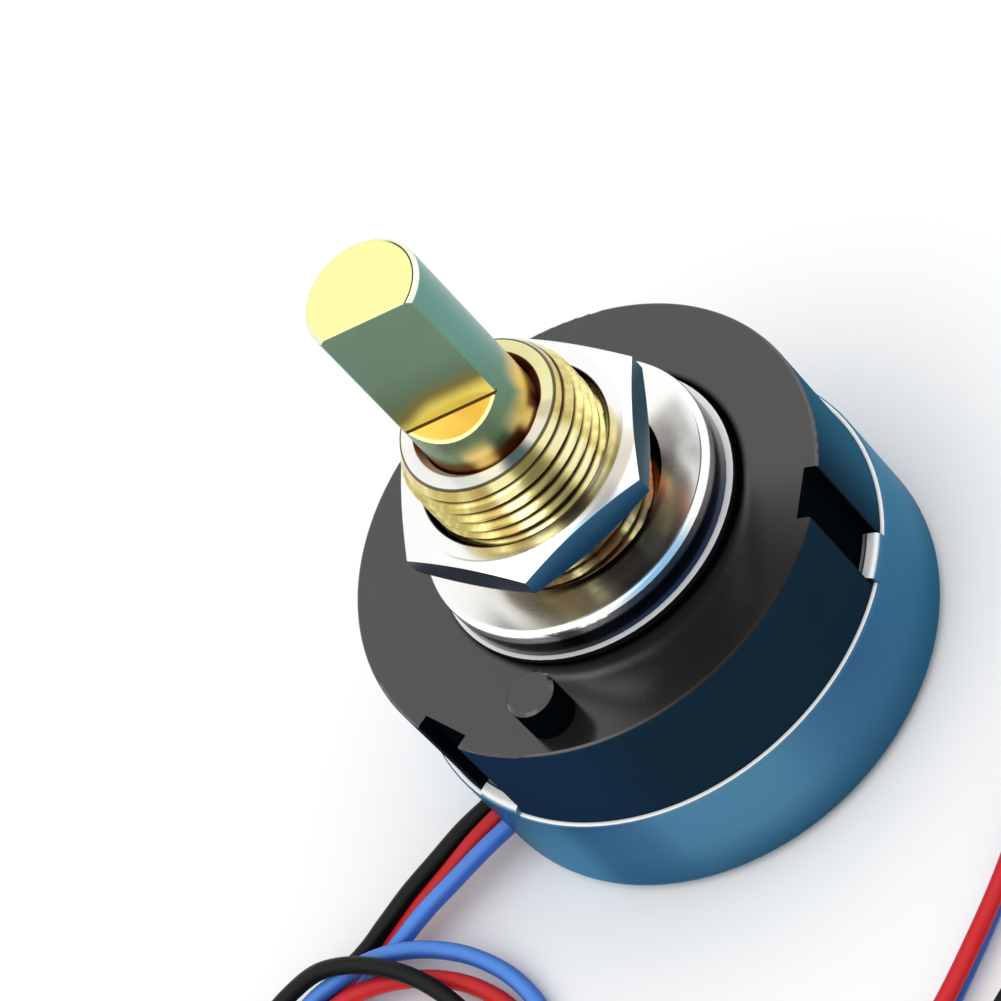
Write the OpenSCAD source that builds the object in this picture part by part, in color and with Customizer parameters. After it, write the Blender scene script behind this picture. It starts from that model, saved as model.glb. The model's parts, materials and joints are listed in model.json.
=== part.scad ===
// Hall effect potentiometer: a contactless rotary position sensor for panel mounting.
// The origin is the middle of the can's flat back, +Z runs along the shaft to its tip,
// and the leads leave the can towards -X. All sizes are in millimetres.

/* [Housing] */
// Diameter of the moulded front housing
body_d = 25; // [24:0.5:28]
// Height of the housing from the rim of the can to its face
head_h = 6.6; // [6.2:0.1:10]
// Thickness of the front wall
face_t = 2.4; // [2:0.1:2.8]
// Thickness of the skirt that sits in the can
skirt_t = 1.4; // [1:0.1:2]
// Radius round the edge of the face
face_edge_r = 0.15; // [0.1:0.05:0.5]

/* [Notches] */
// Number of crimp notches round the housing
notch_n = 3; // [2:1:4]
// Width of a notch
notch_w = 2.8; // [2:0.1:4]
// Depth of a notch, inwards from the housing's side
notch_depth = 0.8; // [0.6:0.05:0.9]
// Direction of the first notch, in degrees from +X
notch_turn = 76; // [60:1:90]

/* [Locating pin] */
// Diameter of the locating pin on the face
pin_d = 2.5; // [1.5:0.1:2.8]
// Height of the locating pin above the face
pin_h = 2.3; // [1:0.1:3]
// Distance of the locating pin from the shaft's axis
pin_ring_r = 10.4; // [9.6:0.1:10.8]
// Direction of the locating pin, in degrees from +X
pin_turn = 226; // [215:1:295]
// Bevel on the locating pin's top
pin_bevel = 0.15; // [0.05:0.05:0.3]

/* [Can] */
// Height of the can
can_h = 6.7; // [6.2:0.1:9]
// Thickness of the can's sheet metal
can_sheet = 0.4; // [0.3:0.05:0.5]
// How far the can stands out past the housing's side
can_proud = 0.3; // [0.1:0.05:0.35]
// Outside radius of the drawn edge at the can's back
can_edge_r = 0.9; // [0.6:0.1:1.2]
// Radius round the outside of the can's rim
rim_edge_r = 0.2; // [0.1:0.05:0.25]
// How far a folded tab stands up from the rim
tab_rise = 0.5; // [0.5:0.05:0.9]
// Gap beside a folded tab and at its end
tab_gap = 0.15; // [0.15:0.05:0.3]

/* [Bushing] */
// Diameter of the bushing's thread
thread_d = 9.5; // [9:0.1:10]
// Length of the bushing in front of the face
bushing_l = 10.5; // [9.5:0.1:14]
// Diameter of the bushing's end face
bushing_tip_d = 8.25; // [7.6:0.05:8.8]
// Length of the bevel at the bushing's end
bushing_bevel_l = 1.2; // [0.6:0.1:1.6]
// Diameter of the countersunk mouth
mouth_d = 6.8; // [6.5:0.1:7.4]
// Diameter of the flange behind the front wall
bushing_flange_d = 13.4; // [12:0.1:17]
// Thickness of that flange
bushing_flange_t = 1; // [0.8:0.1:1.4]
// Length of the narrower rear bearing in the bushing
rear_bearing_l = 2.2; // [1.5:0.1:4]

/* [Shaft] */
// Diameter of the shaft
shaft_d = 6; // [5.6:0.1:6.3]
// Length of the shaft in front of the face
shaft_l = 21.4; // [19:0.1:30]
// Diameter of the shaft's inner end
shaft_rear_d = 5; // [4.4:0.1:5.2]
// Length of the flat on the shaft
flat_l = 8; // [5:0.1:9]
// Thickness of the shaft across the flat
flat_across = 4.8; // [4.4:0.1:5.4]
// Slope of the ramp at the flat's end, in degrees
flat_ramp = 30; // [10:5:45]
// Direction that the flat faces, in degrees from +X
flat_turn = 244; // [0:1:359]
// Bevel on the shaft's tip
tip_bevel = 0.2; // [0.1:0.05:0.5]

/* [Nut and washers] */
// Width of the nut across its flats
nut_af = 12.4; // [12:0.1:14]
// Height of the nut
nut_h = 2; // [1.5:0.1:2.5]
// Gap between the washer and the nut, as the nut stands on the thread
nut_lift = 2.55; // [0.5:0.05:2.9]
// How far the nut's bevels reach in from its flats
nut_bevel = 0.4; // [0.2:0.05:0.5]
// Slope of the nut's bevels, in degrees
nut_slope = 20; // [15:5:25]
// Depth of the countersink at both ends of the nut's thread
nut_sink = 0.25; // [0.1:0.05:0.4]
// Direction of a corner of the nut, in degrees from +X
nut_turn = 58; // [0:1:59]
// Diameter of the thick washer
washer_d = 15.4; // [14:0.1:16]
// Thickness of the thick washer
washer_t = 1.9; // [1:0.1:2]
// Radius round the top edge of the thick washer
washer_edge_r = 0.35; // [0.1:0.05:0.5]
// Diameter of the thin washer
thin_washer_d = 15.9; // [14:0.1:16.4]
// Thickness of the thin washer
thin_washer_t = 0.35; // [0.2:0.05:0.5]
// How far the loose thick washer lies off the shaft's axis, within its clearance
washer_shift = 0.42; // [0:0.02:0.42]
// Direction in which the thick washer lies off the axis, in degrees from +X
washer_shift_turn = 30; // [0:5:355]
// Direction in which the thin washer lies off the axis, against the bushing, in degrees from +X
thin_shift_turn = 20; // [0:5:355]

/* [Rotor] */
// Diameter of the magnet
magnet_d = 8; // [6:0.1:10]
// Thickness of the magnet
magnet_t = 2; // [1.5:0.1:2.4]
// Wall of the magnet holder
holder_wall = 1.2; // [0.8:0.1:2]
// Web between the magnet and the shaft's end
holder_web = 0.5; // [0.4:0.1:0.8]
// Outside diameter of the retaining ring
ring_d = 8.4; // [7.5:0.1:9.5]
// Thickness of the retaining ring
ring_t = 0.5; // [0.4:0.05:0.6]
// Depth of the retaining ring's groove
ring_groove = 0.4; // [0.3:0.05:0.6]
// Outside diameter of the thrust washer
thrust_d = 9; // [7.5:0.1:11]
// Thickness of the thrust washer
thrust_t = 0.3; // [0.2:0.05:0.4]

/* [Circuit board] */
// Thickness of the board
board_t = 0.8; // [0.6:0.1:1]
// Height of the board above the can's floor
board_lift = 0.8; // [0.6:0.1:1]
// Width of the ring that carries the board
spacer_w = 1.6; // [1:0.1:3]
// Length of the sensor chip
chip_l = 4.9; // [4:0.1:6]
// Width of the sensor chip
chip_w = 3.9; // [3:0.1:5]
// Height of the sensor chip above the board
chip_h = 1.3; // [1.1:0.1:1.5]
// Gap between the chip and the magnet
air_gap = 0.8; // [0.5:0.1:1]
// Number of leads on each side of the chip
chip_leads = 4; // [3:1:4]
// Width of a lead of the chip
chip_lead_w = 0.42; // [0.3:0.02:0.5]
// Length of a capacitor
cap_l = 2; // [1.6:0.1:2.2]
// Width of a capacitor
cap_w = 1.2; // [0.8:0.1:1.4]
// Height of a capacitor
cap_h = 0.8; // [0.5:0.1:1]
// Distance between the capacitors
cap_pitch = 3.4; // [2.4:0.1:4]
// Distance of the capacitors from the shaft's axis
cap_reach = 5.2; // [4:0.1:6]
// Distance of the wires' pads from the grommet
pad_inset = 4.4; // [3.6:0.1:4.6]
// Distance between the wires' pads
pad_pitch = 1.7; // [1.7:0.1:2.4]
// Radius of the solder on a pad
dome_r = 0.8; // [0.75:0.05:0.8]

/* [Wires] */
// Outside diameter of a wire
wire_d = 0.9; // [0.8:0.05:0.9]
// Distance between the wires, side by side
wire_pitch = 0.95; // [0.95:0.01:1]
// Wall of the grommet round the wires
grommet_wall = 0.45; // [0.3:0.05:0.5]
// Diameter of a wire's stripped end
core_d = 0.5; // [0.4:0.05:0.6]
// Length of the stripped outer end of a wire
tinned_l = 4; // [3:0.5:6]

/* [Fits] */
// Running clearance round the shaft and in the nut, on the radius
run_clear = 0.03; // [0.01:0.01:0.06]
// Clearance between pieces that sit in each other, on the radius
seat_clear = 0.05; // [0.03:0.01:0.08]
// End play of the shaft
end_play = 0.06; // [0.03:0.01:0.1]
// Clearance of the washers round the bushing, on the radius
washer_clear = 0.5; // [0.45:0.05:0.6]

/* [Hidden] */
$fn = 96;
eps = 0.01;

// Housing and can
body_r = body_d / 2;
can_r = body_r + can_proud;
can_inner_r = can_r - can_sheet;
skirt_r = can_inner_r - seat_clear;
cavity_r = skirt_r - skirt_t;
face_z = can_h + head_h;
ceiling_z = face_z - face_t;
notch_r = body_r - notch_depth;
tab_top_z = can_h + tab_rise;
notch_floor_z = tab_top_z - can_sheet;
tab_w = notch_w - 2 * tab_gap;

// Board and what stands on it
board_z = can_sheet + board_lift;
board_top_z = board_z + board_t;
magnet_z = board_top_z + chip_h + air_gap;
magnet_top_z = magnet_z + magnet_t;

// Bushing, shaft and what holds the shaft in
thread_r = thread_d / 2;
shaft_r = shaft_d / 2;
shaft_rear_r = shaft_rear_d / 2;
bushing_end_z = face_z + bushing_l;
bushing_rear_z = ceiling_z - bushing_flange_t;
bore_step_z = bushing_rear_z + rear_bearing_l;
tip_z = face_z + shaft_l;
flat_z = tip_z - flat_l;
flat_off = flat_across - shaft_r;
thrust_z = bushing_rear_z - end_play - thrust_t;
ring_z = thrust_z - ring_t;
groove_r = shaft_rear_r - ring_groove;
shaft_end_z = magnet_top_z + holder_web;
hub_top_z = ring_z - end_play;
hub_r = shaft_rear_r + holder_wall;
holder_r = magnet_d / 2 + holder_wall;

// Washers and nut, stacked on the face
washer_z = face_z + thin_washer_t + run_clear;
nut_z = washer_z + washer_t + nut_lift;
washer_hole_r = thread_r + washer_clear;
thin_shift = washer_clear - run_clear;
nut_face_r = nut_af / 2 - nut_bevel;

// Row of wires through the can's wall
row_w = 2 * wire_pitch + wire_d;
slot_w = row_w + 2 * grommet_wall;
slot_h = wire_d + 2 * grommet_wall;
lip = 0.3;
flange_t = 0.5;
flange_w = slot_w + 2 * lip;
flange_h = slot_h + 2 * lip;
grommet_r = can_inner_r - seat_clear;
grommet_inner_r = grommet_r - flange_t;
wire_exit_z = board_top_z + wire_d / 2 + seat_clear;
window_w = flange_w + 2 * seat_clear;
window_top_z = wire_exit_z + flange_h / 2 + seat_clear;

// Pads on the board for the wires, where the insulation ends, and where the wires are straight again
pad_x = pad_inset - grommet_inner_r;
strip_x = pad_x - 1.75 * dome_r;
straight_x = -grommet_inner_r + wire_d / 2;
dome_top = 0.97 * dome_r;

// Route of the middle of the row of wires: from the can to the loop, the loop, and from the loop to the end.
// A wire keeps to its own lane, counted to the right of the way that the route runs.
lead_route = [
    [-can_r, 0, wire_exit_z], [-can_r - 1.8, 0, wire_exit_z], [-16.6, 0, 2.3], [-18.6, 0, 2.1],
    [-20.6, 0, 1.7], [-22.6, 0, 1.3]
];
loop_centre = [-26, -7.3];
loop_r = 8.1;
loop_w = 4.2;
loop_h = 2.2;
loop_lift = 0.05;
tail_route = [
    [-33.8, -8, 1.4], [-34, -11, 1.3], [-33.2, -15, 0.5], [-31.4, -19, 0.5], [-28.4, -22.6, 0.5],
    [-24.6, -25.6, 0.5], [-20, -27.8, 0.5], [-15, -28.6, 0.5], [-9.8, -28.2, 0.5], [-4.8, -27.1, 0.5],
    [0, -25.2, 0.5], [4.4, -23, 0.5], [8.6, -20.2, 0.5], [12.2, -16.8, 0.5]
];
// Lanes of the wires behind the loop: black, blue, red
tail_lanes = [2, 0, -1];
wire_sides = 8;

// Directions and shapes along a route
function unit(v) = v / norm(v);
function heading(p, i) = unit(p[min(i + 1, len(p) - 1)] - p[max(i - 1, 0)]);
function rightward(p, i) = unit(cross(heading(p, i), [0, 0, 1]));
function in_lane(p, lane) = [for (i = [0 : len(p) - 1]) p[i] + lane * wire_pitch * rightward(p, i)];

// Closed tube of a wire along the points p
module tube(p, d) {
    n = len(p);
    s = wire_sides;
    points = [
        for (i = [0 : n - 1], k = [0 : s - 1])
            let (right = rightward(p, i), up = cross(right, heading(p, i)), a = 360 * k / s)
            p[i] + d / 2 * (cos(a) * right + sin(a) * up)
    ];
    sides = [
        for (i = [0 : n - 2], k = [0 : s - 1])
            [i * s + k, (i + 1) * s + k, (i + 1) * s + (k + 1) % s, i * s + (k + 1) % s]
    ];
    first = [for (k = [0 : s - 1]) k];
    last = [for (k = [s - 1 : -1 : 0]) (n - 1) * s + k];
    polyhedron(points, concat([first, last], sides));
}

// Outline of half a cup with a round bottom edge, for turning round the axis
module cup_half(r, h, edge_r) {
    square([r - edge_r, h]);
    translate([0, edge_r]) square([r, h - edge_r]);
    translate([r - edge_r, edge_r]) circle(edge_r);
}

// Flat ring standing on the height z
module ring(outer_r, inner_r, z, t) {
    translate([0, 0, z]) difference() {
        cylinder(r = outer_r, h = t);
        translate([0, 0, -eps]) cylinder(r = inner_r, h = t + 2 * eps);
    }
}

// Round-ended bar of width w and height h, from x to x + l along +X, at the height z
module slot_bar(w, h, x, l, z) {
    translate([x, 0, z]) rotate([90, 0, 90]) linear_extrude(l) {
        square([w - h, h], center = true);
        for (side = [-1, 1]) translate([side * (w - h) / 2, 0]) circle(d = h);
    }
}

// Its children at each notch
module at_notches() {
    for (i = [0 : notch_n - 1]) rotate(notch_turn + i * 360 / notch_n) children();
}

// Black moulded housing: face, notched side, skirt inside the can and locating pin
module front_housing() {
    color("dimgray") {
        difference() {
            union() {
                translate([0, 0, face_z]) mirror([0, 0, 1])
                    rotate_extrude() cup_half(body_r, head_h, face_edge_r);
                translate([0, 0, board_top_z]) cylinder(r = skirt_r, h = can_h - board_top_z + eps);
            }
            translate([0, 0, board_top_z - 1]) cylinder(r = cavity_r, h = ceiling_z - board_top_z + 1);
            translate([0, 0, ceiling_z - 1]) cylinder(r = thread_r + seat_clear, h = face_t + 2);
            at_notches() {
                translate([notch_r, -notch_w / 2, notch_floor_z]) cube([body_r, notch_w, face_z]);
                difference() {
                    translate([notch_r, -notch_w / 2, can_h - tab_gap]) cube([body_r, notch_w, tab_rise]);
                    cylinder(r = skirt_r - seat_clear, h = face_z);
                }
            }
            translate([-can_r, -window_w / 2, board_top_z - 1])
                cube([can_r - cavity_r + 1, window_w, window_top_z - board_top_z + 1]);
        }
        rotate(pin_turn) translate([pin_ring_r, 0, face_z - eps]) {
            cylinder(d = pin_d, h = pin_h - pin_bevel + eps);
            translate([0, 0, pin_h - pin_bevel + eps])
                cylinder(d1 = pin_d, d2 = pin_d - 2 * pin_bevel, h = pin_bevel);
        }
    }
}

// Drawn can with a tab folded into each notch and a slot for the grommet
module rear_can() {
    color("steelblue") difference() {
        rotate_extrude() folded_half();
        difference() {
            rotate_extrude() above_rim_half();
            at_notches() translate([cavity_r, -tab_w / 2, 0]) cube([can_r, tab_w, tab_top_z + 1]);
        }
        slot_bar(slot_w, slot_h, -can_r - 1, can_r - cavity_r + 1, wire_exit_z);
    }
}

// Outline of half the can with its edge folded in all round, as at a tab
module folded_half() {
    tab_end_r = notch_r + tab_gap;
    difference() {
        cup_half(can_r, notch_floor_z, can_edge_r);
        translate([0, can_sheet]) cup_half(can_inner_r, can_h + 1, can_edge_r - can_sheet);
    }
    translate([tab_end_r, notch_floor_z]) square([can_inner_r - tab_end_r, can_sheet]);
    translate([can_inner_r, notch_floor_z]) intersection() {
        circle(can_sheet);
        square(can_sheet);
    }
}

// Outline of what is cut away above the rim between the tabs, leaving the rim rounded
module above_rim_half() {
    round_r = can_r - rim_edge_r;
    round_z = can_h - rim_edge_r;
    difference() {
        translate([cavity_r, round_z]) square([can_r + 1 - cavity_r, tab_rise + 1]);
        translate([0, round_z]) square([round_r, rim_edge_r]);
        translate([round_r, round_z]) circle(rim_edge_r);
    }
}

// Brass bushing: flange, threaded barrel with a bevelled end, stepped bore with a countersunk mouth
module bushing() {
    mouth_depth = mouth_d / 2 - shaft_r;
    color("goldenrod") difference() {
        union() {
            translate([0, 0, bushing_rear_z]) cylinder(d = bushing_flange_d, h = bushing_flange_t);
            translate([0, 0, bushing_rear_z])
                cylinder(r = thread_r, h = bushing_end_z - bushing_bevel_l - bushing_rear_z);
            translate([0, 0, bushing_end_z - bushing_bevel_l])
                cylinder(r1 = thread_r, r2 = bushing_tip_d / 2, h = bushing_bevel_l);
        }
        translate([0, 0, bushing_rear_z - 1]) cylinder(r = shaft_rear_r + run_clear, h = bushing_l + face_t);
        translate([0, 0, bore_step_z]) cylinder(r = shaft_r + run_clear, h = bushing_end_z);
        translate([0, 0, bushing_end_z - mouth_depth])
            cylinder(r1 = shaft_r + run_clear, r2 = mouth_d / 2 + eps, h = mouth_depth + eps);
    }
}

// Brass shaft: bevelled tip, milled flat that ends in a ramp, shoulder and grooved inner end
module shaft() {
    shoulder_z = bore_step_z + end_play;
    far = 2 * shaft_r;
    ramp_drop = (far - flat_off) * tan(flat_ramp);
    color("darkkhaki") difference() {
        union() {
            translate([0, 0, shaft_end_z]) cylinder(r = shaft_rear_r, h = shoulder_z - shaft_end_z + eps);
            translate([0, 0, shoulder_z]) cylinder(r = shaft_r, h = tip_z - tip_bevel - shoulder_z);
            translate([0, 0, tip_z - tip_bevel])
                cylinder(r1 = shaft_r, r2 = shaft_r - tip_bevel, h = tip_bevel);
        }
        rotate(flat_turn) rotate([90, 0, 0]) translate([0, 0, -far]) linear_extrude(2 * far)
            polygon([
                [flat_off, flat_z], [far, flat_z - ramp_drop], [far, tip_z + 1], [flat_off, tip_z + 1]
            ]);
        ring(far, groove_r, ring_z - run_clear, ring_t + 2 * run_clear);
    }
}

// Hex nut, bevelled and countersunk at both ends
module hex_nut() {
    corner_r = nut_af / 2 / cos(30);
    outer_r = corner_r + eps;
    bevel_h = (outer_r - nut_face_r) * tan(nut_slope);
    bore_r = thread_r + run_clear;
    color("silver") translate([0, 0, nut_z]) difference() {
        intersection() {
            rotate(nut_turn) cylinder(r = corner_r, h = nut_h, $fn = 6);
            rotate_extrude() polygon([
                [0, 0], [nut_face_r, 0], [outer_r, bevel_h], [outer_r, nut_h - bevel_h],
                [nut_face_r, nut_h], [0, nut_h]
            ]);
        }
        translate([0, 0, -1]) cylinder(r = bore_r, h = nut_h + 2);
        translate([0, 0, -eps]) cylinder(r1 = bore_r + nut_sink + eps, r2 = bore_r, h = nut_sink + eps);
        translate([0, 0, nut_h - nut_sink])
            cylinder(r1 = bore_r, r2 = bore_r + nut_sink + eps, h = nut_sink + eps);
    }
}

// Its children off the axis, as a loose washer lies
module off_axis(turn, shift) {
    rotate(turn) translate([shift, 0, 0]) children();
}

// Thick washer with a round top edge
module flat_washer() {
    color("gainsboro") off_axis(washer_shift_turn, washer_shift) difference() {
        translate([0, 0, washer_z + washer_t]) mirror([0, 0, 1])
            rotate_extrude() cup_half(washer_d / 2, washer_t, washer_edge_r);
        translate([0, 0, washer_z - 1]) cylinder(r = washer_hole_r, h = washer_t + 2);
    }
}

// Thin washer on the face
module thin_washer() {
    color("whitesmoke") off_axis(thin_shift_turn, thin_shift)
        ring(thin_washer_d / 2, washer_hole_r, face_z, thin_washer_t);
}

// Open ring in the shaft's groove
module retaining_ring() {
    color("slategray") difference() {
        ring(ring_d / 2, groove_r + run_clear, ring_z, ring_t);
        translate([0, -groove_r * 0.8, ring_z - 1]) cube([ring_d, groove_r * 1.6, ring_t + 2]);
    }
}

// Thrust washer between the ring and the bushing
module thrust_washer() {
    color("ivory") ring(thrust_d / 2, shaft_rear_r + seat_clear, thrust_z, thrust_t);
}

// Cup that holds the magnet on the shaft's inner end
module magnet_holder() {
    color("darkslategray") difference() {
        union() {
            translate([0, 0, magnet_z]) cylinder(r = holder_r, h = magnet_t + holder_web);
            translate([0, 0, magnet_top_z]) cylinder(r = hub_r, h = hub_top_z - magnet_top_z);
        }
        translate([0, 0, magnet_z - 1]) cylinder(d = magnet_d, h = magnet_t + 1);
        translate([0, 0, shaft_end_z]) cylinder(r = shaft_rear_r, h = hub_top_z);
    }
}

// Disc magnet
module magnet() {
    color("lightslategray") translate([0, 0, magnet_z]) cylinder(d = magnet_d, h = magnet_t);
}

// Round board under the housing's skirt, cut back round the grommet
module circuit_board() {
    color("seagreen") difference() {
        translate([0, 0, board_z]) cylinder(r = skirt_r, h = board_t);
        intersection() {
            ring(can_r, grommet_inner_r - seat_clear, board_z - 1, board_t + 2);
            translate([-can_r, -window_w / 2, board_z - 2]) cube([can_r, window_w, board_t + 4]);
        }
    }
}

// Sensor chip in the middle of the board
module hall_sensor() {
    stand_off = 0.1;
    color("black") translate([-chip_l / 2, -chip_w / 2, board_top_z + stand_off])
        cube([chip_l, chip_w, chip_h - stand_off]);
}

// Gull-wing leads along both sides of the chip
module sensor_leads() {
    t = 0.2;
    reach = 1;
    foot = 0.5;
    mid_z = chip_h / 2;
    pitch = chip_l / chip_leads;
    color("lightgray") for (side = [0, 180], i = [0 : chip_leads - 1])
        rotate(side) translate([(i - (chip_leads - 1) / 2) * pitch, chip_w / 2, board_top_z])
            rotate([90, 0, 90]) linear_extrude(chip_lead_w, center = true) polygon([
                [0, mid_z - t], [reach - foot - t, mid_z - t], [reach - foot - t, 0], [reach, 0], [reach, t],
                [reach - foot, t], [reach - foot, mid_z], [0, mid_z]
            ]);
}

// Board capacitors
module capacitors() {
    color("peru") for (i = [-1 : 1]) translate([cap_reach, i * cap_pitch - cap_w / 2, board_top_z])
        cube([cap_l, cap_w, cap_h]);
}

// Insulating ring that carries the board
module board_spacer() {
    outer_r = min(can_r - can_edge_r, grommet_inner_r - seat_clear);
    color("khaki") ring(outer_r, outer_r - spacer_w, can_sheet, board_lift);
}

// Grommet in the can's slot: a neck through the sheet and a flange behind it
module wire_grommet() {
    color("darkslategray") difference() {
        union() {
            intersection() {
                slot_bar(slot_w - 2 * seat_clear, slot_h - 2 * seat_clear, -can_r - 1, can_r, wire_exit_z);
                ring(can_r, grommet_inner_r, 0, can_h);
            }
            intersection() {
                slot_bar(flange_w, flange_h, -can_r - 1, can_r, wire_exit_z);
                ring(grommet_r, grommet_inner_r, 0, can_h);
            }
        }
        for (lane = [-1 : 1]) translate([-can_r - 1, lane * wire_pitch, wire_exit_z])
            rotate([0, 90, 0]) cylinder(d = wire_d + 2 * run_clear, h = can_r);
    }
}

// Inner end of a wire's route, from its pad on the board to the grommet
function inner_route(lane) = [
    [strip_x, lane * pad_pitch, wire_exit_z], [strip_x - 0.3, lane * pad_pitch, wire_exit_z],
    [(strip_x + straight_x) / 2, lane * (pad_pitch + wire_pitch) / 2, wire_exit_z],
    [straight_x, lane * wire_pitch, wire_exit_z]
];

// Stripped inner end of one wire, from its insulation to the middle of its pad
module wire_core(lane) {
    translate([strip_x, lane * pad_pitch, wire_exit_z]) rotate([0, 90, 0])
        cylinder(d = core_d, h = pad_x - strip_x);
}

module wire_cores() {
    color("silver") for (lane = [-1 : 1]) wire_core(lane);
}

// Domes of solder round the wires' stripped ends, on the board's pads
module solder_joints() {
    color("lightsteelblue") for (lane = [-1 : 1]) difference() {
        translate([pad_x, lane * pad_pitch, board_top_z]) rotate_extrude() intersection() {
            circle(dome_r);
            square([dome_r, dome_top]);
        }
        wire_core(lane);
    }
}

// A wire: from the board out to the loop, and from the loop to its end
module wire(out_lane, tail_lane) {
    tube(concat(inner_route(out_lane), in_lane(lead_route, out_lane)), wire_d);
    tube(in_lane(tail_route, tail_lane), wire_d);
}

module black_wire() {
    color("#202020") wire(1, tail_lanes[0]);
}

module red_wire() {
    color("crimson") wire(0, tail_lanes[2]);
}

module blue_wire() {
    color("royalblue") wire(-1, tail_lanes[1]);
}

// Loop of the three wires, lying beside the can
module wire_coil() {
    color("gray") translate([loop_centre[0], loop_centre[1], loop_lift])
        rotate_extrude() translate([loop_r - loop_w / 2, 0]) square([loop_w, loop_h]);
}

// Tinned outer ends of the wires
module tinned_ends() {
    color("silver") for (lane = tail_lanes) {
        p = in_lane(tail_route, lane);
        way = heading(p, len(p) - 1);
        translate(p[len(p) - 1]) rotate([0, 90, atan2(way[1], way[0])])
            cylinder(d = core_d, h = tinned_l);
    }
}

front_housing();
rear_can();
bushing();
shaft();
hex_nut();
flat_washer();
thin_washer();
retaining_ring();
thrust_washer();
magnet_holder();
magnet();
circuit_board();
hall_sensor();
sensor_leads();
capacitors();
board_spacer();
wire_grommet();
wire_cores();
solder_joints();
black_wire();
red_wire();
blue_wire();
wire_coil();
tinned_ends();
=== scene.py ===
"""Looks of a hall effect potentiometer: finishes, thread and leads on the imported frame, in metres."""

import functools
import json
import math

import bpy
from mathutils import Matrix, Vector


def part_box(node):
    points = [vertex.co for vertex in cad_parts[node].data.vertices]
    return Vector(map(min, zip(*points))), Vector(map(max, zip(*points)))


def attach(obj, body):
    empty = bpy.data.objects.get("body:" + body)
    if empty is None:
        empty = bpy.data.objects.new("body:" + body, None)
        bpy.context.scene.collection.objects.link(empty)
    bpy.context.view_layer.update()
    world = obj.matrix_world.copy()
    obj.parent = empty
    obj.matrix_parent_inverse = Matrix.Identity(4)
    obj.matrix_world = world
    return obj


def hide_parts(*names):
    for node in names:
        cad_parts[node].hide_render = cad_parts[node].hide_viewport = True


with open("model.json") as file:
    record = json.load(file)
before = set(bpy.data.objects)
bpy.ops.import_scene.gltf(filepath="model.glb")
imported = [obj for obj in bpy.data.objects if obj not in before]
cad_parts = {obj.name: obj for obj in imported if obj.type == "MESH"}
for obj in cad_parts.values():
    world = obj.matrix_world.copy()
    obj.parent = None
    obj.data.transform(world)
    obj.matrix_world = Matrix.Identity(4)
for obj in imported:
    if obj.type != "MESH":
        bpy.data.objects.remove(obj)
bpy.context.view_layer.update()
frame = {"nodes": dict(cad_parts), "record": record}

MM = 0.001
FULL_TURN = 2 * math.pi
UP = Vector((0, 0, 1))

# Camera, as the photograph was taken
CAMERA_AT = Vector((0.00018, -0.21282, 0.23920))
CAMERA_AIM = Vector((-0.00205, 0.00500, 0.01330))
CAMERA_ROLL = math.radians(-44.11)
CAMERA_LENS = 233.77
CAMERA_SENSOR = 36.0
CAMERA_REACH = 20

# Stage: half the floor's side, the white world's strength as light and where it is seen, and the lamps,
# each with its place and power
FLOOR_HALF = 3.0
WORLD_LIGHT = 0.82
WORLD_SEEN = 1.0
SEEN_RAYS = ("Is Camera Ray", "Is Glossy Ray", "Is Transmission Ray")
LAMP_WIDTH = 1.2
LAMPS = {
    "key": ((-0.50, -0.20, 0.90), 4.4),
    "fill": ((0.70, 0.30, 0.80), 2.3),
}

# Heights above the can's back and radii that the finishes go by, in millimetres
CAN_TOP = 6.7
FACE_TOP = 13.3
WASHER_TOP = 15.58
NUT_FOOT = 18.1
BUSHING_TOP = 23.8
FLAT_FOOT = 26.7
SHAFT_TOP = 34.7
BODY_R = 12.5
TAB_STEP_R = 12.0

# Directions of the crimp notches and of the shaft's flat, in degrees from +X
NOTCH_TURNS = (76, 196, 316)
FLAT_TURN = 244

# Middle of the loose thick washer, and of the shade round the thin one, in millimetres
WASHER_CENTRE = (0.364, 0.21)
SHADE_CENTRE = (0.6, 0)

# Bushing: its thread, with half the width of a groove in pitches, and the radii and lengths of its solid
THREAD_PITCH = 0.000794
THREAD_DEPTH = 0.00047
GROOVE_HALF = 0.42
THREAD_R = 0.00475
TIP_R = 0.004125
BEVEL_LENGTH = 0.0012
MOUTH_R = 0.0034
MOUTH_DEPTH = 0.0004
BORE_R = 0.00303
REAR_BORE_R = 0.00253
REAR_BORE_LENGTH = 0.0022
FLANGE_THICKNESS = 0.0010
ROWS_TO_A_TURN = 14
BUSHING_SEGMENTS = 144
SHARP_ANGLE = math.radians(30)

# Stretch of noise into lines round a turned piece, and round the drawn can
TURNED_LINES = (1.0, 1.0, 40.0)
DRAWN_LINES = (2.0, 2.0, 60.0)

# Leads: thickness and spacing, where they start on the board, and where they are side by side in the grommet
WIRE_D = 0.0009
WIRE_PITCH = 0.00095
WIRE_ROUNDNESS = 6
SPAN_STEPS = 6
PAD_PITCH = 0.0017
STRIP_X = -0.00885
STUB = 0.0003
STRAIGHT_X = -0.0114
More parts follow.
